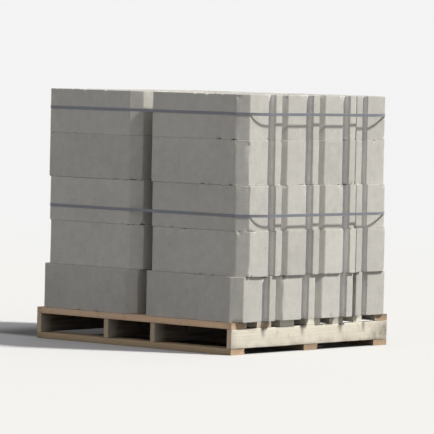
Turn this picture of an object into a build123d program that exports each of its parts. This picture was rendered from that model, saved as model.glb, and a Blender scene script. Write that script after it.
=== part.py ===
from build123d import *
import os

# A loaded pallet: hollow concrete blocks in five layers on a wooden pallet, held by two straps.
# Lengths are in millimetres. X runs along the front of the load, Y runs from its front to its
# rear, and Z is up. The origin is on the floor, under the middle of the load.

# One concrete block, seen from above
block_length = 540      # between the plain faces of its two ends
block_depth = 248
block_height = 190
block_bevel = 43        # each front corner is cut off by this much, both ways
plain_face = 122        # the part of each end between the bevel and the groove
groove_width = 41       # an upright groove runs down each end
groove_depth = 25
lip_proud = 5           # the lip behind the groove stands out past the plain face
shell = 28              # wall in front of and behind the cells
web = 26                # wall between two cells
end_wall = 34           # wall between the front row of cells and the plain face
groove_wall = 24        # wall between the rear row of cells and the groove
cell_radius = 25

# The load: two stacks side by side, each with four rows of blocks from front to rear
stack_gap = 50
row_gap = 3.5
turned_row_gap = 17     # the last row is turned round, and stands a little apart
turned_row_shift = -11

# How far each layer was set down out of line, as (x, y), from the bottom layer up
layer_shifts = [(0, 0), (11, 1), (5, 0), (-2, -2), (-5, 0)]
# The rows of the bottom layer stand further apart than the rest, from front to rear
bottom_row_spread = [-18, -7, 2, 21]

# The wooden pallet: deck boards along X on stringers along Y, on three bottom boards
board_length = 1105
load_overhang = 11      # how far the load sits to the right of the pallet's middle
deck_thickness = 28
deck_widths = [99, 94, 94, 97, 92, 60, 89]
deck_gaps = [68, 59, 80, 64, 72, 91]
stringer_thickness = 25
stringer_height = 82
inner_stringers = [-149, 115]   # middles of the two inner ones, from the middle of the boards
bottom_width = 93
bottom_thickness = 26

# The straps
strap_width = 13
strap_thickness = 0.9
strap_clearance = 0.3
lower_strap_height = 65     # middle of the strap, above the underside of the middle layer
upper_strap_height = 109    # middle of the strap, above the underside of the top layer
strap_bow = 35          # how far it springs away from the ends of the load
strap_rise = 135        # the length in which it does so, from each corner

pallet_depth = sum(deck_widths) + sum(deck_gaps)
pallet_middle = -load_overhang
stringer_bottom = bottom_thickness
deck_bottom = stringer_bottom + stringer_height
deck_top = deck_bottom + deck_thickness
load_depth = 4 * block_depth + 2 * row_gap + turned_row_gap
stack_pitch = block_length + stack_gap
load_half = (stack_pitch + block_length) / 2

os.makedirs("parts", exist_ok=True)

# The block's plan is drawn once, about its own middle, with its bevels towards the front.
front = -block_depth / 2
rear = block_depth / 2
end = block_length / 2
groove_front = front + block_bevel + plain_face
groove_rear = groove_front + groove_width

cell_depth = (block_depth - 2 * shell - web) / 2
cell_length = (block_length - 2 * end_wall - 2 * web) / 3
cell_pitch = cell_length + web
front_cell_y = front + shell + cell_depth / 2
rear_cell_y = rear - shell - cell_depth / 2
short_cell_inner = cell_length / 2 + web
short_cell_outer = end - groove_depth - groove_wall
short_cell_length = short_cell_outer - short_cell_inner
short_cell_x = (short_cell_inner + short_cell_outer) / 2

with BuildSketch() as block_plan:
    with BuildLine():
        Polyline(
            (0, front),
            (end - block_bevel, front),
            (end, front + block_bevel),
            (end, groove_front),
            (end - groove_depth, groove_front),
            (end - groove_depth, groove_rear),
            (end + lip_proud, groove_rear),
            (end + lip_proud, rear),
            (0, rear),
        )
        mirror(about=Plane.YZ)
    make_face()
    with Locations((0, front_cell_y)):
        with GridLocations(cell_pitch, 0, 3, 1):
            RectangleRounded(cell_length, cell_depth, cell_radius, mode=Mode.SUBTRACT)
    with Locations((0, rear_cell_y)):
        RectangleRounded(cell_length, cell_depth, cell_radius, mode=Mode.SUBTRACT)
        with Locations((-short_cell_x, 0), (short_cell_x, 0)):
            RectangleRounded(short_cell_length, cell_depth, cell_radius, mode=Mode.SUBTRACT)


def row_places(layer):
    """Middle and turn of each row of a layer, as (x, y, angle) from front to rear."""
    pitch = block_depth + row_gap
    first = -load_depth / 2 + block_depth / 2
    last = load_depth / 2 - block_depth / 2
    rows = [(0, first, 0), (0, first + pitch, 0), (0, first + 2 * pitch, 0), (turned_row_shift, last, 180)]
    spread = bottom_row_spread if layer == 0 else [0, 0, 0, 0]
    shift_x, shift_y = layer_shifts[layer]
    return [(x + shift_x, y + shift_y + apart, turn) for (x, y, turn), apart in zip(rows, spread)]


# The blocks, layer by layer from the bottom and row by row from the front. A row of a layer has
# two blocks, one in each stack, and no block touches its neighbours in the layer.
for layer in range(len(layer_shifts)):
    layer_bottom = deck_top + layer * block_height
    for row, (row_x, row_y, turn) in enumerate(row_places(layer)):
        name = f"blocks_layer_{layer + 1}_row_{row + 1}"
        with BuildPart() as blocks:
            with BuildSketch(Plane.XY.offset(layer_bottom)):
                for side in (-1, 1):
                    with Locations(Location((row_x + side * stack_pitch / 2, row_y, 0), (0, 0, turn))):
                        add(block_plan.sketch)
            extrude(amount=block_height)
        blocks.part.label = name
        export_step(blocks.part, f"parts/{name}.step")


# Deck boards, from the front edge of the pallet to its rear edge
board_front = -pallet_depth / 2
for number, width in enumerate(deck_widths):
    name = f"deck_board_{number + 1}"
    with BuildPart() as deck_board:
        with BuildSketch(Plane.XY.offset(deck_bottom)):
            with Locations((pallet_middle, board_front + width / 2)):
                Rectangle(board_length, width)
        extrude(amount=deck_thickness)
    deck_board.part.label = name
    export_step(deck_board.part, f"parts/{name}.step")
    board_front += width
    if number < len(deck_gaps):
        board_front += deck_gaps[number]

# Stringers: one under each end of the boards and two between them
outer_stringer = (board_length - stringer_thickness) / 2
for number, place in enumerate((-outer_stringer, *inner_stringers, outer_stringer)):
    name = f"stringer_{number + 1}"
    with BuildPart() as stringer:
        with BuildSketch(Plane.XY.offset(stringer_bottom)):
            with Locations((pallet_middle + place, 0)):
                Rectangle(stringer_thickness, pallet_depth)
        extrude(amount=stringer_height)
    stringer.part.label = name
    export_step(stringer.part, f"parts/{name}.step")

# Bottom boards: at the front edge, in the middle and at the rear edge
outer_bottom = (pallet_depth - bottom_width) / 2
for number, place in enumerate((-outer_bottom, 0, outer_bottom)):
    name = f"bottom_board_{number + 1}"
    with BuildPart() as bottom_board:
        with BuildSketch(Plane.XY):
            with Locations((pallet_middle, place)):
                Rectangle(board_length, bottom_width)
        extrude(amount=bottom_thickness)
    bottom_board.part.label = name
    export_step(bottom_board.part, f"parts/{name}.step")

# The straps lie flat on the front, the rear and the bevels, and spring away from the ends. One
# goes round the middle layer and one round the top layer.
top_layer = len(layer_shifts) - 1
middle_layer = top_layer // 2
for name, layer, height in (
    ("strap_lower", middle_layer, lower_strap_height),
    ("strap_upper", top_layer, upper_strap_height),
):
    rows = row_places(layer)
    strap_middle = deck_top + layer * block_height + height
    middle_x, first_y, _ = rows[0]
    last_x, last_y, _ = rows[-1]
    load_front = first_y - block_depth / 2
    load_rear = last_y + block_depth / 2
    reach = load_half + strap_bow
    with BuildSketch() as load_outline:
        with BuildLine():
            for side in (-1, 1):
                front_end = middle_x + side * load_half
                rear_end = last_x + side * load_half
                bow_x = middle_x + side * reach
                bow_front = load_front + block_bevel + strap_rise
                bow_rear = load_rear - block_bevel - strap_rise
                Line((middle_x, load_front), (front_end - side * block_bevel, load_front))
                Line((front_end - side * block_bevel, load_front), (front_end, load_front + block_bevel))
                TangentArc((bow_x, bow_front), (front_end, load_front + block_bevel), tangent=(0, -1))
                Line((bow_x, bow_front), (bow_x, bow_rear))
                TangentArc((bow_x, bow_rear), (rear_end, load_rear - block_bevel), tangent=(0, 1))
                Line((rear_end, load_rear - block_bevel), (rear_end - side * block_bevel, load_rear))
                Line((rear_end - side * block_bevel, load_rear), (middle_x, load_rear))
        make_face()
    with BuildPart() as strap:
        with BuildSketch(Plane.XY.offset(strap_middle - strap_width / 2)):
            offset(load_outline.face(), amount=strap_clearance + strap_thickness, mode=Mode.ADD)
            offset(load_outline.face(), amount=strap_clearance, mode=Mode.SUBTRACT)
        extrude(amount=strap_width)
    strap.part.label = name
    export_step(strap.part, f"parts/{name}.step")
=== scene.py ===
# %% [markdown]
# # A strapped pallet of hollow concrete blocks
# Forty pressed concrete blocks stand in five layers on a wooden pallet, held by two steel straps.
# The construction comes as a fixed frame of plain solids. This script gives each solid the look of
# the real thing: chipped and grainy concrete, rough-sawn wood, and blued steel band. Nothing is
# moved or resized, so every piece is worked out from the solid that it stands for.

# %% The frame of plain solids
import math
import random

import bmesh
import bpy
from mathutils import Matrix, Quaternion, Vector, geometry, noise


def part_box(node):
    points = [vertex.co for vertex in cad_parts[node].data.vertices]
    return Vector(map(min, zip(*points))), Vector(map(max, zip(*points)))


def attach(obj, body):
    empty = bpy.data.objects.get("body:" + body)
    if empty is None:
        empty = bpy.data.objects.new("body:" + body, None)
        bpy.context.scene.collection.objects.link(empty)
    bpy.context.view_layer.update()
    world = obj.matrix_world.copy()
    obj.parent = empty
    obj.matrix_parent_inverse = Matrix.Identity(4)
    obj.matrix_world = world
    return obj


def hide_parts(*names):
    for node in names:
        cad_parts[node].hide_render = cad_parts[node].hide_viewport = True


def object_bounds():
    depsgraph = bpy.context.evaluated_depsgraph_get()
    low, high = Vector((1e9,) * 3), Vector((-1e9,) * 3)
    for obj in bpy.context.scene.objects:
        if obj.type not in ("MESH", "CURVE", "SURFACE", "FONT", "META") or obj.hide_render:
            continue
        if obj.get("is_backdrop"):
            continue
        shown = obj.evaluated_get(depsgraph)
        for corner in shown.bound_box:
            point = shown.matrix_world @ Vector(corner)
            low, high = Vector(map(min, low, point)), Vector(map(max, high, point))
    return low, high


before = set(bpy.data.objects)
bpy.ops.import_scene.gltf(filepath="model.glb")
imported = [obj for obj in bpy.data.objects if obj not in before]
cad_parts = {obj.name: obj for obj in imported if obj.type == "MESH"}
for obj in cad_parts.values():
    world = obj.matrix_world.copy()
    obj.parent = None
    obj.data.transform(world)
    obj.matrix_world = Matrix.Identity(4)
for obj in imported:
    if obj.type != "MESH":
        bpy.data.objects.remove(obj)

cad_low, cad_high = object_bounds()
scene = bpy.context.scene
millimetre = 0.001
solids = sorted(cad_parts)
print(len(solids), "solids, from", tuple(cad_low), "to", tuple(cad_high))

# %% [markdown]
# ## Writing shaders as sums
# A finish is a sum of many small effects: a cloud of paler cement here, a pit there. Such sums
# read best as sums, so a node's output is wrapped in a `Wire`, and adding or multiplying wires
# adds the Math nodes, and `1 - mask` works too. Any other node comes from `Sheet.node`, which
# takes its type, its settings and what its sockets get.

# %% A wire that can be added and multiplied
class Wire:
    """One output of a node. Arithmetic on it adds Math nodes to the same sheet."""

    def __init__(self, sheet, socket):
        self.sheet = sheet
        self.socket = socket

    def math(self, operation, *others):
        """This wire, and what comes after it, through a Math node."""
        return self.sheet.calculate(operation, self, *others)

    def __add__(self, other):
        return self.math("ADD", other)

    def __sub__(self, other):
        return self.math("SUBTRACT", other)

    def __rsub__(self, other):
        return self.sheet.calculate("SUBTRACT", other, self)

    def __mul__(self, other):
        return self.math("MULTIPLY", other)

    __radd__, __rmul__ = __add__, __mul__

    def __pow__(self, other):
        return self.math("POWER", other)

    def step(self, low, high):
        """A smooth step: 0 below low, 1 above high. With low over high it runs the other way."""
        settings = {"interpolation_type": "SMOOTHSTEP"}
        if low < high:
            return self.sheet.node("ShaderNodeMapRange", settings, {0: self, 1: low, 2: high})
        return 1 - self.step(high, low)


print(Wire.__doc__)

# %% A sheet of nodes
class Sheet:
    """The node tree of a material or of the world."""

    def __init__(self, tree):
        self.tree = tree

    def node(self, kind, settings=None, inputs=None, output=0):
        """Adds a node: its settings first, then its sockets' values or wires. Gives one output."""
        made = self.tree.nodes.new(kind)
        for name, setting in (settings or {}).items():
            setattr(made, name, setting)
        for key, value in (inputs or {}).items():
            self.feed(made.inputs[key], value)
        return Wire(self, made.outputs[output])

    def feed(self, socket, value):
        """Links a wire to a socket, or sets the socket's own value."""
        if isinstance(value, Wire):
            self.tree.links.new(value.socket, socket)
        elif socket.type == "RGBA" and len(value) == 3:
            socket.default_value = (*value, 1)
        else:
            socket.default_value = value

    def calculate(self, operation, *terms):
        """A Math node on wires and numbers, in the order in which they are given."""
        return self.node("ShaderNodeMath", {"operation": operation}, dict(enumerate(terms)))

    def mix(self, mask, first, second):
        """Colour: the first where the mask is 0, the second where it is 1."""
        settings = {"data_type": "RGBA"}
        return self.node("ShaderNodeMix", settings, {0: mask, 6: first, 7: second}, output=2)

    def shade(self, colour, amount):
        """Colour times a number that varies over the surface."""
        return self.node("ShaderNodeVectorMath", {"operation": "SCALE"}, {0: colour, 3: amount})

    def part(self, place, axis):
        """The X, Y or Z of a place."""
        return self.node("ShaderNodeSeparateXYZ", {}, {0: place}, output=axis)

    def stretch(self, place, x, y, z):
        """The place scaled by its own amount in x, y and z, for grain and streaks."""
        settings = {"operation": "MULTIPLY"}
        return self.node("ShaderNodeVectorMath", settings, {0: place, 1: (x, y, z)})

    def cloud(self, place, scale, detail=2.0, roughness=0.5, distortion=0.0):
        """Soft noise about 0, from about -0.5 to 0.5. The scale is blobs for each metre."""
        inputs = {"Vector": place, "Scale": scale, "Detail": detail}
        inputs.update({"Roughness": roughness, "Distortion": distortion})
        return self.node("ShaderNodeTexNoise", {}, inputs) - 0.5

    def grains(self, place, scale):
        """Distance to the nearest of many scattered grains, in parts of their usual spacing."""
        inputs = {"Vector": place, "Scale": scale}
        return self.node("ShaderNodeTexVoronoi", {"feature": "F1"}, inputs)

    def mark(self, name, output="Fac"):
        """A value that the mesh itself carries, such as how worn each point is."""
        return self.node("ShaderNodeAttribute", {"attribute_name": name}, output=output)


print(Sheet.__doc__)

# %% A finish is a sheet with one Principled shader
class Finish(Sheet):
    """A material. What is the same all over the surface comes as constants of its shader."""

    def __init__(self, name, **constants):
        self.material = bpy.data.materials.new(name)
        self.material.use_nodes = True
        super().__init__(self.material.node_tree)
        self.shader = self.tree.nodes["Principled BSDF"]
        for socket, value in constants.items():
            self.shader.inputs[socket.replace("_", " ")].default_value = value

    def place(self):
        """Where a point is in metres, moved by the piece's own shift so no two look alike."""
        here = self.node("ShaderNodeTexCoord", output="Object")
        shift = self.mark("shift", "Vector")
        return self.node("ShaderNodeVectorMath", {"operation": "ADD"}, {0: here, 1: shift})

    def give(self, socket, wire):
        """Feeds the shader something that varies over the surface."""
        self.feed(self.shader.inputs[socket], wire)

    def bump(self, height, depth):
        """Roughens the surface: the height wire times a real depth in metres."""
        inputs = {"Height": height, "Distance": depth, "Strength": 1.0}
        self.give("Normal", self.node("ShaderNodeBump", {}, inputs))


print(Finish.__doc__)

# %% [markdown]
# ## Concrete
# Blocks like these are pressed from a nearly dry mix and pushed out of the mould at once, so their
# faces are matt and open-grained, with faint upright drag lines from the mould. The colour is a
# pale, slightly warm grey. It varies in soft clouds a hand wide, in sand grains, in small pits
# where the mix did not close, and from one block to the next. One image texture could not carry
# all of these sizes, so each is a noise of its own scale, added up in one sum that scales a single
# grey. Pale lime shows in patches, and the end grooves are painted towards the same pale colour:
# that is painted light, standing in for the light bounced into them.

# %% The concrete finish
concrete_grey = (0.512, 0.497, 0.457)
lime_bloom_and_groove_light = (0.705, 0.70, 0.685)


def concrete_finish():
    """Pressed concrete: noise over one grey, pale lime in patches, painted light in the grooves.
    """
    finish = Finish("pressed_concrete", Roughness=0.9)
    place = finish.place()
    tone = finish.mark("tone")
    wear = finish.mark("wear")

    hand_clouds = finish.cloud(place, 4.5, detail=3)
    blotches = finish.cloud(place, 26, detail=4, roughness=0.6)
    drag_lines = finish.cloud(finish.stretch(place, 85, 85, 5), 1, detail=3)
    sand = finish.cloud(place, 330, detail=2, roughness=0.7)
    grit = finish.grains(place, 150).step(0.35, 0.12)
    pit_field = finish.cloud(place, 17, detail=2).step(0.05, 0.14)
    pits = finish.grains(place, 46).step(0.15, 0.07) * pit_field

    light = 1 + 0.07 * tone + 0.20 * hand_clouds + 0.30 * blotches + 0.08 * drag_lines
    light = light + 0.40 * sand - 0.10 * grit - 0.38 * pits + 0.10 * wear
    bloom_and_groove_light = finish.cloud(place, 9, detail=5, roughness=0.65).step(0.14, 0.34) * 0.31
    # painted light: points in the end grooves are turned towards the pale colour
    bloom_and_groove_light = bloom_and_groove_light.math("MAXIMUM", finish.mark("painted_groove_light") * 0.85)
    colour = finish.mix(bloom_and_groove_light, concrete_grey, lime_bloom_and_groove_light)
    finish.give("Base Color", finish.shade(colour, light))
    finish.give("Roughness", 0.9 + 0.12 * sand - 0.1 * bloom_and_groove_light)
    relief = 0.5 * sand - 0.35 * grit - 1.6 * pits + 0.6 * drag_lines + 0.5 * blotches
    finish.bump(relief, 1.1 * millimetre)
    return finish.material


concrete = concrete_finish()
print("concrete:", len(concrete.node_tree.nodes), "nodes")

# %% [markdown]
# ## Rough-sawn wood
# The pallet is cheap softwood, sawn and never planed. A board is a slice through a log, so the
# truest texture is the log itself: rings about a pith that runs along the board, somewhere below
# or beside it. Cut by the mesh, that one field gives long grain on the faces and arcs on the ends.
# Each piece has its own pith, through its shift. Boards run along X and stringers along Y, so
# every scale is given along the board and across it.

# %% The log inside a board
rings_turn = 1150   # radians of the ring pattern for each metre, which is a ring each 5.5 mm


def log_pattern(finish, place, runs_along_x):
    """What grew in a board and what the saw left: rings, fibres, stains and saw marks."""
    def grain(along, across, **look):
        """Noise with so many blobs for each metre along the board and across it."""
        x, y = (along, across) if runs_along_x else (across, along)
        return finish.cloud(finish.stretch(place, x, y, across), 1, **look)

    side = finish.part(place, "Y" if runs_along_x else "X")
    up = finish.part(place, "Z")
    wander = grain(0.9, 12, detail=2)
    from_pith = (side ** 2 + up ** 2) ** 0.5 + 0.012 * wander
    rings = (from_pith * rings_turn).math("SINE") * 0.5 + 0.5
    fibres = grain(7, 420, detail=4, roughness=0.6)
    stains = grain(3, 60, detail=4, roughness=0.6)
    saw_marks = grain(210, 5, detail=2)
    return rings, fibres, stains, saw_marks


print("a ring each", round(2 * math.pi / rings_turn / millimetre, 1), "mm of wood")

# %% [markdown]
# On top come dark ends where the wood drew water, splits, brown patches and grey weathering. The
# mesh says where an end was cut across, which weathers to a colour of its own, where the wood is
# dirty or darkened as painted shade, where it is made pale as painted light, and where dirty water
# has run down.

# %% The wood finish
weathered_grey = (0.335, 0.325, 0.30)
bark_brown = (0.40, 0.27, 0.17)
soil_and_shade_colour = (0.085, 0.065, 0.05)
gap_light_colour = (0.80, 0.765, 0.66)


def wood_finish(
    name, runs_along_x, pale, ring_dark, cut_end, grey_share, ring_share=0.5, brown_share=0.3
):
    """Sawn softwood between two colours, weathered by the given shares."""
    finish = Finish(name, Roughness=0.82)
    place = finish.place()
    tone = finish.mark("tone")
    ends = finish.mark("ends")
    wear = finish.mark("wear")
    runs = finish.mark("runs")
    rings, fibres, stains, saw_marks = log_pattern(finish, place, runs_along_x)
    splits = fibres.step(0.16, 0.24) * (ends + 0.25 * stains).step(0.35, 0.9)
    patches = finish.cloud(place, 21, detail=4, roughness=0.62, distortion=0.6)

    dark_ring = (rings ** 3) * ring_share
    body = finish.mix(dark_ring, pale, ring_dark)
    body = finish.mix(grey_share * stains.step(-0.15, 0.3), body, weathered_grey)
    body = finish.mix(brown_share * patches.step(0.03, 0.2), body, bark_brown)
    body = finish.mix(finish.mark("cut"), body, cut_end)
    # dirt on the outer sides of the stringers, painted shade inside the pallet and under the
    # blocks
    body = finish.mix(finish.mark("soil_and_painted_shade") * (1 + 0.8 * stains), body, soil_and_shade_colour)
    # painted light: the faces in the gaps of the deck are made pale
    body = finish.mix(finish.mark("painted_gap_light"), body, gap_light_colour)
    light = 1 + 0.16 * tone + 0.38 * fibres + 0.22 * stains + 0.1 * saw_marks + 0.1 * wear
    light = light - 0.28 * ends - 0.6 * splits - 0.8 * runs
    finish.give("Base Color", finish.shade(body, light))
    finish.give("Roughness", 0.8 + 0.2 * fibres)
    relief = 0.9 * fibres + 0.5 * saw_marks - 0.3 * dark_ring - 1.5 * splits
    finish.bump(relief, 0.9 * millimetre)
    return finish.material


# the second colour is painted light for the gaps of the deck
print("soil is", soil_and_shade_colour, "and the dust of the blocks", gap_light_colour)

# %% Four kinds of wood
# ends washed with lime, made paler than the wood's own colour as painted light under the blocks'
# overhang
limed_and_lit = (0.80, 0.76, 0.64)
bare = (0.55, 0.385, 0.25)
weathered = (0.70, 0.56, 0.385)
deck_pale, deck_ring = (0.80, 0.565, 0.37), (0.52, 0.33, 0.185)
bottom_pale, bottom_ring = (0.46, 0.345, 0.205), (0.30, 0.19, 0.095)
stringer_pale, stringer_ring = (0.625, 0.585, 0.49), (0.50, 0.43, 0.33)
board_wood = wood_finish("board_wood", True, deck_pale, deck_ring, bare, 0.16)
limed_and_lit_wood = wood_finish("limed_and_lit_board_wood", True, deck_pale, deck_ring, limed_and_lit, 0.16)
bottom_wood = wood_finish("bottom_board_wood", True, bottom_pale, bottom_ring, bare, 0.3)
stringer_wood = wood_finish(
    "stringer_wood", False, stringer_pale, stringer_ring, weathered, 0.12, 0.22, 0.5
)
print("wood:", len(board_wood.node_tree.nodes), "nodes in each finish")

# %% [markdown]
# ## Blued steel band
# The strap is thin spring-steel band, blued so that it does not rust at once. It is dark and a
# little blue, half glossy, with fine scratches along its length from the tensioning tool and
# specks of rust along its cut edges. Fully metallic it would be nearly black in open shade, so
# most of its colour is a plain one under the gloss.

# %% The strap finish
steel_dark, steel_scuffed = (0.17, 0.19, 0.225), (0.33, 0.345, 0.375)
rust_brown = (0.20, 0.11, 0.06)


def strap_finish():
    """Blued band: scuffed along its length, with specks of rust, most of them on its edges."""
    finish = Finish("blued_steel", Metallic=0.05, Roughness=0.42)
    place = finish.place()
    wear = finish.mark("wear")
    scuffs = finish.cloud(finish.stretch(place, 9, 9, 900), 1, detail=3)
    clouds = finish.cloud(place, 14, detail=4, roughness=0.6)
    specks = finish.cloud(place, 260, detail=2)
    rust = (specks + 0.25 * wear + 0.5 * clouds).step(0.30, 0.42) * 0.8
    steel = finish.mix(scuffs.step(0.0, 0.28) * 0.6, steel_dark, steel_scuffed)
    colour = finish.mix(rust, steel, rust_brown)
    finish.give("Base Color", finish.shade(colour, 1 + 0.35 * clouds))
    finish.give("Roughness", 0.36 + 0.25 * clouds + 0.4 * rust)
    finish.bump(0.4 * scuffs + 0.6 * rust, 0.15 * millimetre)
    return finish.material


strap_steel = strap_finish()
print("strap:", len(strap_steel.node_tree.nodes), "nodes")

# %% [markdown]
# ## Outlines read from the solids
# Every block and strap is upright: one outline, drawn in plan and pulled up. So the outline is
# read back from the top face of its solid, where the rim is every edge with a top face on one side
# only. Walked in the direction in which its face runs, a rim always has the material on its left.
# Outer rims then turn left and the rims of holes turn right, which tells them apart.

# %% Reading the rims of a solid's top
def top_rims(name):
    """Closed rims of a solid's top face, as lists of Vectors in plan, material on the left."""
    solid = bmesh.new()
    solid.from_mesh(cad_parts[name].data)
    bmesh.ops.transform(solid, matrix=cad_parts[name].matrix_world, verts=solid.verts)
    bmesh.ops.remove_doubles(solid, verts=solid.verts, dist=0.01 * millimetre)
    solid.normal_update()
    for face in solid.faces:
        face.tag = face.normal.z > 0.9
    following = {}
    for face in solid.faces:
        for corner in face.loops:
            if face.tag and not all(beside.tag for beside in corner.edge.link_faces):
                following[corner.vert.index] = corner.link_loop_next.vert.index
    points = [Vector((vertex.co.x, vertex.co.y)) for vertex in solid.verts]
    solid.free()
    rims = []
    while following:
        start = min(following)
        here = following.pop(start)
        rim = [points[start]]
        while here != start:
            rim.append(points[here])
            here = following.pop(here)
        rims.append(rim)
    return rims


def signed_area(rim):
    """Area of a rim: positive for an outer rim, negative for the rim of a hole."""
    return sum(a.cross(b) for a, b in zip(rim, rim[1:] + rim[:1])) / 2


def left_of(rim):
    """How far to the left a rim begins."""
    return min(point.x for point in rim)


def blocks_of(name):
    """A row's blocks, from left to right, each as its outer rim and the rims of its cells."""
    rims = top_rims(name)
    cells = [rim for rim in rims if signed_area(rim) < 0]
    blocks = []
    for outer in sorted((rim for rim in rims if signed_area(rim) > 0), key=left_of):
        right = max(point.x for point in outer)
        blocks.append((outer, [cell for cell in cells if left_of(outer) < cell[0].x < right]))
    return blocks


block_rows = [name for name in solids if name.startswith("blocks_")]
first_row = blocks_of(block_rows[0])
example_outer, example_cells = first_row[0]
print(len(block_rows), "rows;", len(first_row), "blocks in the first of them, with")
print(len(example_cells), "cells in each block")

# %% [markdown]
# ## Walking a rim in small steps
# A straight side comes as just two points, and weathering needs many. Each side is divided, and
# each sharp corner is rounded a little, as a mould's corners are. Every point also learns how far
# it is from the nearest sharp corner, because corners are what breaks off first.

# %% Points along a rim
rim_spacing = 6 * millimetre
corner_cut = 2.2 * millimetre


def softened(rim, spacing, cut, sharp=math.radians(30)):
    """Points along a rim, as (place, distance to the nearest sharp corner or None)."""
    count = len(rim)
    path = []
    corners = []
    for index, point in enumerate(rim):
        back = (rim[index - 1] - point).normalized()
        ahead = (rim[(index + 1) % count] - point).normalized()
        turn = math.pi - back.angle(ahead)
        if turn < sharp:
            path.append(point)
            continue
        corners.append(point)
        radius = cut / math.tan(turn / 2)
        middle = (back + ahead).normalized() * radius * (1 / math.cos(turn / 2) - 1)
        path += [point + back * cut, point + middle, point + ahead * cut]
    walked = []
    for here, there in zip(path, path[1:] + path[:1]):
        pieces = max(1, round((there - here).length / spacing))
        walked += [here.lerp(there, step / pieces) for step in range(pieces)]
    return [(p, min(((p - c).length for c in corners), default=None)) for p in walked]


def outward_normals(points):
    """For each point of a rim with its material on the left, the direction away from it."""
    normals = []
    for before, after in zip(points[-1:] + points[:-1], points[1:] + points[:1]):
        run = after - before
        normals.append(Vector((run.y, -run.x)).normalized())
    return normals


example_rim = softened(example_outer, rim_spacing, corner_cut)
print("one block's rim is", len(example_outer), "points, and", len(example_rim), "once divided")

# %% [markdown]
# ## Wear that only takes away
# Concrete breaks in shallow scoops along its edges. A scoop is noise above a threshold, fading
# with the distance from the edge, so most of an edge stays sound and a few places are well broken.
# Wear moves points inwards only: the block then never grows past its solid, and never meets its
# neighbours or the strap.

# %% How much an edge has lost
sound_below = 0.42                  # where the noise stays under this, the edge is sound


def broken(place, distance, reach, depth, seed):
    """Depth that is missing at a place, for its distance to an edge, in metres."""
    if distance is None or distance > reach:
        return 0.0
    where = Vector((place[0], place[1], place[2])) + seed
    patches = 0.6 * noise.noise(where * 6)
    scoops = noise.noise(where * 31) + 0.5 * noise.noise(where * 74)
    scoops = scoops + 0.3 * noise.noise(where * 160)
    fade = (1 - distance / reach) ** 1.4
    return depth * max(0.0, scoops + patches - sound_below) * fade


def rounded(distance, radius):
    """Depth that a round edge of this radius is missing, at a distance from the edge."""
    if distance >= radius:
        return 0.0
    return radius - math.sqrt(radius ** 2 - (radius - distance) ** 2)


metre_of_edge = [broken((step * millimetre, 0, 0), 0, 1, 1, Vector()) for step in range(1000)]
print("of a metre of edge,", sum(depth > 0 for depth in metre_of_edge), "mm are broken")

# %% [markdown]
# At an outside corner the two sides move towards each other, and past a few millimetres they would
# cross. A real corner comes off as one piece, so there the points between the crossing sides all
# move by the same amount in the same direction, and the corner is cut back as a whole.

# %% Keeping a worn ring from crossing itself
most_passes = 12


def untangled(points, moves, reach=14, slight=1.5 * millimetre):
    """The moves of a ring's points, made equal wherever the moved ring would cross itself."""
    count = len(points)
    for attempt in range(most_passes):
        moved = [point + move for point, move in zip(points, moves)]
        far_moved = [move.length > slight for move in moves]
        crossings = 0
        for index in range(count):
            for far in range(2, reach):
                other = (index + far) % count
                if not (far_moved[index] or far_moved[other]):
                    continue
                side = moved[index], moved[(index + 1) % count]
                other_side = moved[other], moved[(other + 1) % count]
                if geometry.intersect_line_line_2d(*side, *other_side):
                    group = [(index + step) % count for step in range(far + 2)]
                    mean = sum((moves[place] for place in group), Vector((0, 0))) / len(group)
                    for place in group:
                        moves[place] = mean
                    crossings += 1
                    break
        if not crossings:
            break
    return moves


print("a worn ring is untangled in at most", most_passes, "passes")

# %% [markdown]
# ## A mesh that tells its finish where it is worn
# The finishes above read values that the mesh carries at its points: the piece's own tone, its
# wear, whether a point lies in a groove, where light is painted in, near an end or in a water run,
# its dirt and painted shade, its painted light, and a shift so that no two pieces share a cloud. A
# mesh is built as rings of points joined by faces, whether it is a block's wall, a board or a
# strap.

# %% Marks and rings
mark_names = ("wear", "tone", "painted_groove_light", "ends", "runs", "cut", "soil_and_painted_shade", "painted_gap_light")


def new_shape():
    """An empty mesh whose points can carry every mark."""
    shape = bmesh.new()
    for name in mark_names:
        shape.verts.layers.float.new(name)
    shape.verts.layers.float_vector.new("shift")
    return shape


def mark_of(shape, name):
    """The layer of a mesh that holds this mark."""
    return shape.verts.layers.float[name]


def join_rings(shape, rings):
    """Adds the faces from each ring of points to the next."""
    for lower, upper in zip(rings, rings[1:]):
        for index in range(len(lower)):
            ahead = (index + 1) % len(lower)
            shape.faces.new((lower[index], lower[ahead], upper[ahead], upper[index]))


def drawn_vector(draw, reach):
    """Three random numbers from -reach to reach."""
    return Vector([draw.uniform(-reach, reach) for axis in range(3)])


print("each point carries", ", ".join(mark_names), "and shift")

# %% [markdown]
# ## A block
# The block is built as walls between levels: a ring of points for each rim at each level, with the
# levels close together near the top and the bottom, where the scoops are. It could be cut from a
# solid with voxels or sculpting, but walls keep every edge crisp and cost few triangles.

# %% Levels and walls
edge_steps = [0, 0.8, 2.2, 5, 9, 15, 26]    # millimetres in from an end, on the outside
wall_steps = [0, 2, 6, 16]                  # and in a cell
level_spacing, cell_level_spacing = 30 * millimetre, 55 * millimetre
lowering, lowering_reach = 0.55, 0.012      # near an end, wear takes the edge down as well
full_wear = 0.004                           # a point this deeply worn counts as fully worn


def levels_of(bottom, top, steps, spacing):
    """Heights from the bottom to the top: fine steps at both ends and even ones between."""
    low = [bottom + step * millimetre for step in steps]
    high = [top - step * millimetre for step in reversed(steps)]
    count = max(1, round((high[0] - low[-1]) / spacing))
    return low + [low[-1] + (high[0] - low[-1]) * n / count for n in range(1, count)] + high


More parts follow.
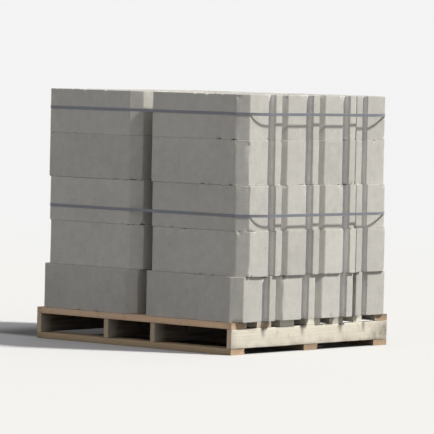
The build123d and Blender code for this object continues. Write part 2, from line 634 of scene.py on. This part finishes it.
def wall(shape, rim, levels, losses):
    """Adds a closed wall. losses(place, to_end, corner) is (inwards, wear). Gives its rings."""
    points = [point for point, corner in rim]
    normals = outward_normals(points)
    bottom, top = levels[0], levels[-1]
    rings = []
    worn = mark_of(shape, "wear")
    for level in levels:
        to_end = min(level - bottom, top - level)
        lost = [losses((point.x, point.y, level), to_end, corner) for point, corner in rim]
        moves = [normal * -inwards for normal, (inwards, wear) in zip(normals, lost)]
        near_end = max(0.0, 1 - to_end / lowering_reach)
        ring = []
        for point, move, (inwards, wear) in zip(points, untangled(points, moves), lost):
            lowered = lowering * wear * near_end
            height = level - lowered if level > (bottom + top) / 2 else level + lowered
            vertex = shape.verts.new((*(point + move), height))
            vertex[worn] = min(1.0, wear / full_wear)
            ring.append(vertex)
        rings.append(ring)
    join_rings(shape, rings)
    return rings


example_levels = levels_of(0, 190 * millimetre, edge_steps, level_spacing)
print("the outer wall of a 190 mm block has", len(example_levels), "levels")

# %% [markdown]
# The two ends are filled with triangles in plan, and those that lie in a cell as well as in the
# block are left out. The rim also tells which of its points lie in an upright end groove, where
# the finish paints light in as a paler colour: those that are in from the end, and far from both
# sides.

# %% The end grooves
past_end, past_side = 9 * millimetre, 40 * millimetre


def in_groove(point, outer):
    """1 for a point of a block's outer rim that lies in one of its end grooves, otherwise 0."""
    to_end = min(point.x - left_of(outer), max(p.x for p in outer) - point.x)
    to_side = min(point.y - min(p.y for p in outer), max(p.y for p in outer) - point.y)
    return float(to_end > past_end and to_side > past_side)


in_grooves = sum(in_groove(point, example_outer) for point, corner in example_rim)
print(int(in_grooves), "of the rim's points lie in the block's two grooves")

# %% Closing an end
def close_end(shape, rings, up):
    """Fills a block's end between its outer ring, which comes first, and its cells' rings."""
    corners = [vertex for ring in rings for vertex in ring]
    outlines = []
    for ring in rings:
        first = sum(len(outline) for outline in outlines)
        outlines.append(list(range(first, first + len(ring)))[::-1 if outlines else 1])
    plan = [vertex.co.xy for vertex in corners]
    filled = geometry.delaunay_2d_cdt(plan, [], outlines, 1, 1e-7, True)
    triangles, plan_points, outlines_about = filled[2], filled[3], filled[5]
    for triangle, about in zip(triangles, outlines_about):
        if len(about) == 1:
            face = [corners[plan_points[corner][0]] for corner in triangle]
            shape.faces.new(face if up else face[::-1])


print("an end is filled between 1 outer ring and", len(example_cells), "inner ones")

# %% [markdown]
# Three kinds of damage add up on the outside of a block: chips along the top and bottom edges,
# splits along the upright corners, and the deep loss where the two meet. Every block draws its own
# roughness, so that a few of them are well battered and others nearly whole.

# %% One weathered block
chip_reach, chip_depth = 0.014, 0.011
split_reach, split_depth = 0.013, 0.008
loss_reach, loss_depth = 0.026, 0.022
cell_reach, cell_depth = 0.010, 0.007
cell_spacing, cell_cut = 16 * millimetre, 3 * millimetre
deepest_wear = 15 * millimetre
edge_radius = 0.0016
swell_depth = 0.0004


def add_block(shape, outer, cells, bottom, top, draw):
    """Adds one block to a mesh: its outer wall, its cell walls and its two ends."""
    seed = drawn_vector(draw, 50)
    roughness = draw.uniform(0.75, 1.25)

    def outer_losses(place, to_end, corner):
        """How far in the outside lies at a place, and how much of that is wear."""
        to_both = max(to_end, corner or 0)
        chip = broken(place, to_end, chip_reach, chip_depth * roughness, seed)
        split = broken(place, corner, split_reach, split_depth * roughness, seed * 1.7)
        loss = broken(place, to_both, loss_reach, loss_depth * roughness, seed * 2.3)
        swell = swell_depth * (1 + noise.noise((Vector(place) + seed) * 7))
        wear = min(chip + split + loss, deepest_wear)
        return swell + wear + rounded(to_end, edge_radius), wear

    def cell_losses(place, to_end, corner):
        """The same for the wall of a cell, which only chips at its ends."""
        chip = broken(place, to_end, cell_reach, cell_depth * roughness, seed)
        return chip + rounded(to_end, edge_radius), chip

    outer_rim = softened(outer, rim_spacing, corner_cut)
    outer_levels = levels_of(bottom, top, edge_steps, level_spacing)
    cell_levels = levels_of(bottom, top, wall_steps, cell_level_spacing)
    walls = [wall(shape, outer_rim, outer_levels, outer_losses)]
    # points in the end grooves are marked for painted light
    painted_groove_light = mark_of(shape, "painted_groove_light")
    groove_light_flags = [in_groove(point, outer) for point, corner in outer_rim]
    for ring in walls[0]:
        for vertex, inside in zip(ring, groove_light_flags):
            vertex[painted_groove_light] = inside
    for cell in cells:
        cell_rim = softened(cell, cell_spacing, cell_cut, sharp=math.radians(60))
        walls.append(wall(shape, cell_rim, cell_levels, cell_losses))
    close_end(shape, [rings[0] for rings in walls], up=False)
    close_end(shape, [rings[-1] for rings in walls], up=True)


print("a block loses at most", round(deepest_wear / millimetre), "mm from its outside")

# %% [markdown]
# ## From a mesh to a piece of the pallet
# Every piece is finished the same way: smooth shading that stays crisp past 30 degrees, its values
# for the finish, its material, the solid that it stands for and the body that it rides on.

# %% Making a piece
crisp_past = math.radians(30)


def paint(shape, vertices, tone, shift):
    """Gives a group of points their piece's own tone and shift."""
    toned = mark_of(shape, "tone")
    shifted = shape.verts.layers.float_vector["shift"]
    for vertex in vertices:
        vertex[toned] = tone
        vertex[shifted] = shift


def make_piece(shape, name, stands_for, material):
    """Turns a finished shape into an object that rides on the one body of the load."""
    shape.normal_update()
    mesh = bpy.data.meshes.new(name)
    shape.to_mesh(mesh)
    shape.free()
    mesh.shade_smooth()
    mesh.set_sharp_from_angle(angle=crisp_past)
    mesh.materials.append(material)
    piece = bpy.data.objects.new(name, mesh)
    scene.collection.objects.link(piece)
    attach(piece, "root")
    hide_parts(stands_for)
    return piece


print("pieces stay crisp past", round(math.degrees(crisp_past)), "degrees")

# %% [markdown]
# A row of two blocks is one piece. It draws its chances from a seed of its own, so that no row
# changes when another one does.

# %% The forty blocks
for row_number, row_name in enumerate(block_rows):
    draw = random.Random(1000 + row_number)
    low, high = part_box(row_name)
    shape = new_shape()
    for outer, cells in blocks_of(row_name):
        before = len(shape.verts)
        add_block(shape, outer, cells, low[2], high[2], draw)
        shape.verts.ensure_lookup_table()
        shift = drawn_vector(draw, 9)
        paint(shape, shape.verts[before:], draw.uniform(-1, 1), shift)
    piece_name = row_name.replace("blocks_", "weathered_")
    row = make_piece(shape, piece_name, row_name, concrete)
print("blocks done; the last row has", len(row.data.polygons), "faces")

# %% [markdown]
# ## Boards and stringers
# A sawn board is a long box whose edges are never quite straight: a little fuzz, a rounded arris,
# a dent, and on some boards a strip of the log's round outside, called wane. The section is a ring
# of points, repeated along the length. As with the blocks, wood is only taken away.

# %% A board's section and what it has lost
section_spacing = 11 * millimetre
dent_reach, dent_depth = 0.009, 0.005
fray_reach, fray_depth = 0.012, 0.006
wane_reach = 0.02
fuzz_depth = 0.0005
arris_radius = 0.0012


def board_section(width, height):
    """The outline of a board's section about its middle, as softened points."""
    w, h = width / 2, height / 2
    corners = [Vector((-w, -h)), Vector((w, -h)), Vector((w, h)), Vector((-w, h))]
    return softened(corners, section_spacing, corner_cut)


def worn_section(rim, normals, station, to_end, wane_corner, wane_depth, limit, seed):
    """What a section has lost at a station: each point's (wear, frayed), and each one's move."""
    wane_swell = noise.noise(Vector((station * 2.2, 0, 0)) + seed) + 0.15
    wane_here = max(0.0, wane_swell) * wane_depth
    losses, moves = [], []
    for (point, corner), normal in zip(rim, normals):
        place = (station, point.x, point.y)
        hairs = noise.noise(Vector((station * 9, point.x * 90, point.y * 90)) + seed)
        fuzz = fuzz_depth * (1 + hairs)
        dent = broken(place, corner, dent_reach, dent_depth, seed)
        wane = wane_here * max(0.0, 1 - (point - wane_corner).length / wane_reach)
        frayed = broken(place, to_end, fray_reach, fray_depth, seed * 1.3)
        frayed = frayed + rounded(to_end, arris_radius)
        inwards = fuzz + dent + wane + frayed * 0.5
        losses.append((dent + wane + frayed, frayed))
        moves.append(normal * -min(inwards, limit))
    return losses, untangled([point for point, corner in rim], moves)


print("a 100 x 28 mm section has", len(board_section(0.1, 0.028)), "points")

# %% [markdown]
# Rain runs out of the end grooves and down the stringer below, where it leaves a dark run:
# strongest in the middle, fading to its sides and downwards, and a little crooked.

# %% Water runs
run_length = 48 * millimetre
run_half_width = 11 * millimetre
run_wander = 2 * millimetre


def run_stain(spot, top, run_places, where):
    """How strongly water has stained a spot, from 0 to 1, where it ran down at the run places."""
    stain = 0.0
    below_top = (top - spot.z) / run_length
    for run in run_places:
        beside = (spot.y - run + run_wander * noise.noise(where * 60)) / run_half_width
        stain = max(stain, math.exp(-beside ** 2) * max(0.0, 1 - below_top ** 2))
    return stain


print("a run is", round(run_length / millimetre), "mm long")

# %% Where a board lies in its log
def log_shift(draw, runs_along_x, middle):
    """The shift that gives a board a place of its own in a log, its pith below or beside it."""
    shift = drawn_vector(draw, 9)
    pith = draw.uniform(0.03, 0.09)
    if runs_along_x:
        return Vector((shift.x, 0.02, pith)) - Vector((0, middle[1], middle[2]))
    return Vector((pith, shift.y, 0.03)) - Vector((middle[0], 0, middle[2]))


print("a shift into a log, for example:", log_shift(random.Random(0), True, (0, 0, 0)))

# %% A sawn piece of wood
station_steps = [0, 1, 3, 8, 18]    # millimetres in from an end
ends_reach = 0.05                   # how far in an end has drawn water
board_full_wear = 0.003
wane_depths = [0, 0, 0.004, 0.007]  # half of the boards have no wane


def sawn_piece(name, runs_along_x, material, draw, soil_shade_and_light, spacing=24 * millimetre, run_places=()):
    """A weathered board in place of its plain solid.

    Its fifth argument gives, from a point's spot, facing and distance to an end, how dirty or
    darkened as painted shade it is, and how much light is painted on it. Water has run down the
    board at the run places.
    """
    low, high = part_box(name)
    size = [high[axis] - low[axis] for axis in range(3)]
    middle = [(high[axis] + low[axis]) / 2 for axis in range(3)]
    length, width = (size[0], size[1]) if runs_along_x else (size[1], size[0])
    height = size[2]
    rim = board_section(width, height)
    points = [point for point, corner in rim]
    normals = outward_normals(points)
    seed = drawn_vector(draw, 50)
    wane_corner = draw.choice([Vector((-width, -height)), Vector((width, -height))]) / 2
    wane_depth = draw.choice(wane_depths)
    limit = 0.4 * min(width, height)
    shape = new_shape()
    names = ("wear", "ends", "runs", "cut", "soil_and_painted_shade", "painted_gap_light")
    worn, ended, stained, sawn_off, soil_and_painted_shade, painted_gap_light = [mark_of(shape, mark) for mark in names]
    rings = []
    for station in levels_of(-length / 2, length / 2, station_steps, spacing):
        to_end = length / 2 - abs(station)
        losses, moves = worn_section(
            rim, normals, station, to_end, wane_corner, wane_depth, limit, seed
        )
        ring = []
        for point, normal, move, (wear, frayed) in zip(points, normals, moves, losses):
            where = Vector((station, point.x, point.y)) + seed
            spot = point + move
            along = station - math.copysign(frayed, station)
            spot = (along, spot.x, spot.y) if runs_along_x else (spot.x, -along, spot.y)
            vertex = shape.verts.new([spot[axis] + middle[axis] for axis in range(3)])
            vertex[worn] = min(1.0, wear / board_full_wear)
            vertex[ended] = max(0.0, 1 - to_end / ends_reach)
            vertex[sawn_off] = 1.0 if to_end < 0.5 * millimetre else 0.0
            vertex[soil_and_painted_shade], vertex[painted_gap_light] = soil_shade_and_light(vertex.co, normal.x, to_end)
            vertex[stained] = run_stain(vertex.co, high[2], run_places, where)
            ring.append(vertex)
        rings.append(ring)
    join_rings(shape, rings)
    shape.faces.new(list(reversed(rings[0])))
    shape.faces.new(rings[-1])
    bmesh.ops.recalc_face_normals(shape, faces=shape.faces)
    shift = log_shift(draw, runs_along_x, middle)
    paint(shape, shape.verts, draw.uniform(-1, 1), shift)
    return make_piece(shape, f"sawn_{name}", name, material)


print("a board draws water", round(ends_reach / millimetre), "mm in from its ends")

# %% [markdown]
# The boards are alike and differ in their marks. The faces in the gaps of the deck are made pale,
# as painted light, four of the deck boards have ends washed with lime, made paler still as painted
# light, and the top edge under the blocks is a little darker, as painted shade. The sides of the
# bottom boards inside the pallet are darker too, as painted shade, except near their ends.

# %% The deck boards and the bottom boards
deck_bottom, deck_top = (corner[2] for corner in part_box("deck_board_1"))
limed_and_lit_ends = ("deck_board_3", "deck_board_4", "deck_board_5", "deck_board_6")
outer_side = 0.01                   # a face this near to the front or the rear is not in a gap
painted_shade_height = 7 * millimetre
bottom_unshaded_end = 15 * millimetre


def board_painted_light_and_shade(spot, facing, to_end):
    """Painted shade at the deck's top edge and inside the bottom boards, painted light in the
    gaps.
    """
    inside = cad_low.y + outer_side < spot.y < cad_high.y - outer_side
    in_gap = float(abs(facing) > 0.5 and inside)
    # painted shade on the bottom boards' sides inside the pallet, fading out near their ends
    if spot.z < deck_bottom - millimetre:
        return in_gap * 0.6 * min(1.0, to_end / bottom_unshaded_end), 0.0
    # painted shade along the deck's top edge, painted light on the faces in its gaps
    return 0.3 * max(0.0, 1 - (deck_top - spot.z) / painted_shade_height), 0.85 * in_gap


board_names = [name for name in solids if name.startswith(("deck_", "bottom_"))]
for number, name in enumerate(board_names):
    finish = bottom_wood if name.startswith("bottom_") else board_wood
    finish = limed_and_lit_wood if name in limed_and_lit_ends else finish
    board = sawn_piece(name, True, finish, random.Random(2000 + number), board_painted_light_and_shade)
print(len(board_names), "boards; the last has", len(board.data.polygons), "faces")

# %% [markdown]
# The stringers stand on edge. Their outer sides are bleached and splashed from below, with a damp
# patch towards the rear. Their inner sides are painted dark, as painted shade, except near their
# ends. They are divided more finely than the boards, because the water runs are narrow.

# %% Where water drips, dirt gathers and shade is painted on a stringer
groove_middle = 185.5 * millimetre  # from a block's front to the middle of its end groove
drip_drift = 18 * millimetre        # the drops fall this far behind the middle
inner_painted_shade, inner_unshaded_end = 0.9, 75 * millimetre
splash_height, damp_reach = 0.06, 0.16

bottom_rows = [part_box(f"blocks_layer_1_row_{row}") for row in (1, 2, 3, 4)]
drips = [low[1] + groove_middle + drip_drift for low, high in bottom_rows[:3]]
drips.append(bottom_rows[3][1][1] - groove_middle + drip_drift)     # the last row is turned round
stringer_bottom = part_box("stringer_1")[0][2]
rear_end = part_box("stringer_1")[1][1]


def stringer_soil_and_shade(outward):
    """Dirt and painted shade of a stringer whose outer side faces outward: 1, -1, or 0 with both
    sides inside.
    """
    def soil_shade_and_light(spot, facing, to_end):
        """How dirty or painted dark a spot is, and its painted light, which is none."""
        # the inner sides: painted shade, fading out near the ends
        if facing * outward < 0.5:
            return inner_painted_shade * min(1.0, to_end / inner_unshaded_end) ** 0.7, 0.0
        splashed = max(0.0, 1 - (spot.z - stringer_bottom) / splash_height)
        damp_end = max(0.0, 1 - (rear_end - spot.y) / damp_reach)
        blotch = noise.noise(spot * 20) + 0.5 * noise.noise(spot * 55)
        return max(0.0, (0.16 * splashed + 0.36 * damp_end) * (1 + 1.6 * blotch)), 0.0
    return soil_shade_and_light


print("water drips at y =", [round(drip, 3) for drip in drips])

# %% The stringers
stringer_spacing = 7 * millimetre
stringer_names = [name for name in solids if name.startswith("stringer_")]
outward_sides = {"stringer_1": -1, "stringer_4": 1}
for number, name in enumerate(stringer_names):
    draw = random.Random(3000 + number)
    soil_shade_and_light = stringer_soil_and_shade(outward_sides.get(name, 0))
    stringer = sawn_piece(name, False, stringer_wood, draw, soil_shade_and_light, stringer_spacing, drips)
print(len(stringer_names), "stringers of", len(stringer.data.polygons), "faces")

# %% [markdown]
# ## Straps
# The band follows the outer rim of its solid. It is far too thin to show a thickness from a few
# metres away, but its edges catch the light, so the section keeps small bevels. Between the
# corners of the load the band is free, and it wanders up and down by a millimetre. It is made a
# little narrower than its solid, to leave room for that.

# %% A strap
strap_spacing, strap_cut = 12 * millimetre, 1 * millimetre
bevel_share = 0.3
width_share = 0.93
drift_reach = 0.0009


def band(name, draw):
    """A steel band that follows its solid's rim."""
    low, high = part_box(name)
    outer, inner = sorted(top_rims(name), key=lambda rim: -abs(signed_area(rim)))
    thick = (outer[0] - min(inner, key=lambda p: (p - outer[0]).length)).length
    half = (high[2] - low[2]) / 2
    centre = (high[2] + low[2]) / 2
    bevel = thick * bevel_share
    section = [(0, bevel - half), (0, half - bevel), (bevel, half), (thick - bevel, half)]
    section += [(thick, half - bevel), (thick, bevel - half)]
    section += [(thick - bevel, -half), (bevel, -half)]
    points = [point for point, corner in softened(outer, strap_spacing, strap_cut)]
    normals = outward_normals(points)
    seed = Vector((draw.uniform(-50, 50), draw.uniform(-50, 50), 0))
    shape = new_shape()
    worn = mark_of(shape, "wear")
    rings = []
    for point, normal in zip(points, normals):
        place = Vector((point.x, point.y, 0)) + seed
        drift = drift_reach * noise.noise(place * 3)
        ring = []
        for depth, height in section:
            spot = point - normal * depth
            vertex = shape.verts.new((spot.x, spot.y, centre + height * width_share + drift))
            vertex[worn] = abs(height) / half
            ring.append(vertex)
        rings.append(ring)
    join_rings(shape, rings + rings[:1])
    bmesh.ops.recalc_face_normals(shape, faces=shape.faces)
    paint(shape, shape.verts, 0.0, seed * 0.1)
    return make_piece(shape, f"steel_{name}", name, strap_steel)


for number, name in enumerate(name for name in solids if name.startswith("strap_")):
    steel_band = band(name, random.Random(4000 + number))
print("a strap has", len(steel_band.data.polygons), "faces")

# %% [markdown]
# ## Floor and backdrop
# The floor is plain and pale to the eye. If it were as pale to the light, it would throw so much
# back that the load would lose its shaded side. So it shows one colour to the camera and to
# reflections, and a darker one to everything else. Under the pallet, where the photograph is
# nearly black, it is dark to both, and so is the strip beside the left end, where the load's own
# shadow lies. It has no gloss, because from so low down even a dull gloss would mirror the
# backdrop into the fork openings. Far away it turns into the backdrop's own glow, so that no line
# shows where it ends.

# %% What the camera sees
seen_by = ("Camera", "Glossy", "Transmission")


def seen(sheet):
    """1 for rays that show a surface to the camera, glass or metal, 0 for those that light."""
    rays = [sheet.node("ShaderNodeLightPath", output=f"Is {kind} Ray") for kind in seen_by]
    return (rays[0] + rays[1] + rays[2]).math("MINIMUM", 1.0)


print("kinds of ray that see the floor as it looks:", ", ".join(seen_by))

# %% The floor's finish
backdrop_glow = 0.9
floor_to_light, floor_to_eye = (0.20, 0.20, 0.195), (0.60, 0.60, 0.595)
under_x, under_y = cad_high[0] - 0.06, cad_high[1] - 0.01
sun_turn = math.radians(32)         # the sun stands this far from +X towards +Y
pale_from, pale_to = -0.80, -1.15   # beside the load, in its shadow, the dark fades out here
glow_from, glow_to = 3, 14          # metres from the load

floor_finish = Finish("studio_floor", Roughness=0.85, Specular_IOR_Level=0.0)
floor_place = floor_finish.node("ShaderNodeTexCoord", output="Object")
across = floor_finish.part(floor_place, "X")
along = floor_finish.part(floor_place, "Y")
reach_x = across.math("ABSOLUTE") * (1 / under_x)
reach_y = along.math("ABSOLUTE") * (1 / under_y)
open_floor = reach_x.math("MAXIMUM", reach_y).step(0.94, 1.0)
# the strip past the left end, where the load's shadow falls
beside = across.step(-0.40, -0.45) * across.step(pale_to, pale_from)
in_shadow = along.step(-0.55, -0.42) * (along - math.tan(sun_turn) * across).step(0.82, 0.72)
# painted shade: under the pallet and in the strip beside its left end the floor is dark to every
# ray
floor_mask = seen(floor_finish) * open_floor * (1 - beside * in_shadow)
floor_finish.give("Base Color", floor_finish.mix(floor_mask, floor_to_light, floor_to_eye))

radius = (across ** 2 + along ** 2) ** 0.5
far = radius.step(glow_from, glow_to) * seen(floor_finish)
glow = floor_finish.node("ShaderNodeEmission", {}, {"Color": (1, 1, 1), "Strength": backdrop_glow})
surface = Wire(floor_finish, floor_finish.shader.outputs[0])
faded = floor_finish.node("ShaderNodeMixShader", {}, {0: far, 1: surface, 2: glow})
floor_finish.feed(floor_finish.tree.nodes["Material Output"].inputs["Surface"], faded)
print("floor finish:", len(floor_finish.tree.nodes), "nodes")

# %% The floor
half_floor = 60.0
signs = ((-1, -1), (1, -1), (1, 1), (-1, 1))
corners = [(x * half_floor, y * half_floor, 0) for x, y in signs]
floor_mesh = bpy.data.meshes.new("floor")
floor_mesh.from_pydata(corners, [], [(0, 1, 2, 3)])
floor_mesh.materials.append(floor_finish.material)
floor = bpy.data.objects.new("floor", floor_mesh)
scene.collection.objects.link(floor)
floor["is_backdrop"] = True
print("floor:", round(2 * half_floor), "metres wide")

# %% Backdrop
fill_light = 0.50
fill_colour = (0.965, 0.955, 1.0)

world = bpy.data.worlds.new("studio")
scene.world = world
world.use_nodes = True
backdrop = Sheet(world.node_tree)
background = world.node_tree.nodes["Background"]
backdrop_mask = seen(backdrop)
backdrop_strength = backdrop_mask * (backdrop_glow - fill_light) + fill_light
backdrop.feed(background.inputs["Color"], backdrop.mix(backdrop_mask, fill_colour, (1, 1, 1)))
backdrop.feed(background.inputs["Strength"], backdrop_strength)
print("backdrop:", len(world.node_tree.nodes), "nodes")

# %% [markdown]
# ## Light
# The load is lit from behind its right-hand end, high up, so that the end is bright, the bevels
# catch a glancing light and the front lies in open shade. One wide sun does this with soft-edged
# shadows, and the backdrop fills the rest.

# %% The key light
sun_height = math.radians(50)
key = bpy.data.lights.new("key", "SUN")
key.energy = 4.2
key.angle = math.radians(6)
key.color = (1.0, 0.985, 0.94)
key_light = bpy.data.objects.new("key", key)
towards_sun = Vector((math.cos(sun_turn), math.sin(sun_turn), 0)) * math.cos(sun_height)
towards_sun.z = math.sin(sun_height)
key_light.rotation_euler = towards_sun.to_track_quat("Z", "Y").to_euler()
scene.collection.objects.link(key_light)
print("the sun stands", round(math.degrees(sun_height)), "degrees high")

# %% [markdown]
# ## Camera
# The photograph was taken from about sixteen metres away, standing to the right of the load's
# front, with the lens a little above the top of the load. From so far off the lines of the load
# hardly converge. The same place and direction are kept, with a longer lens that fills the frame.
# The lens was also held a little crooked, so the camera is turned by that angle about its own line
# of sight.

# %% The camera
camera_turn = math.radians(40.2)    # from -Y towards +X
camera_distance = 16
camera_height = 1.225
camera_roll = math.radians(1.45)
lens = bpy.data.cameras.new("camera")
lens.lens = 305                     # millimetres
lens.clip_end = 500
camera = bpy.data.objects.new("camera", lens)
camera.location = (
    camera_distance * math.sin(camera_turn),
    -camera_distance * math.cos(camera_turn),
    camera_height,
)
aim = (cad_low + cad_high) / 2
level = (camera.location - aim).to_track_quat("Z", "Y")
camera.rotation_euler = (level @ Quaternion((0, 0, 1), camera_roll)).to_euler()
scene.collection.objects.link(camera)
scene.camera = camera
scene.view_settings.view_transform = "Standard"
print("camera:", camera_distance, "metres away,", round(lens.lens), "mm lens")

# %% [markdown]
# ## Sizes
# The dressed part has to stay inside the box of its solids, so both boxes are written down.

# %% Sizes and the end
low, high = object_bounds()
print("solids:", [round(v, 4) for v in cad_high - cad_low])
print("dressed:", [round(v, 4) for v in high - low])
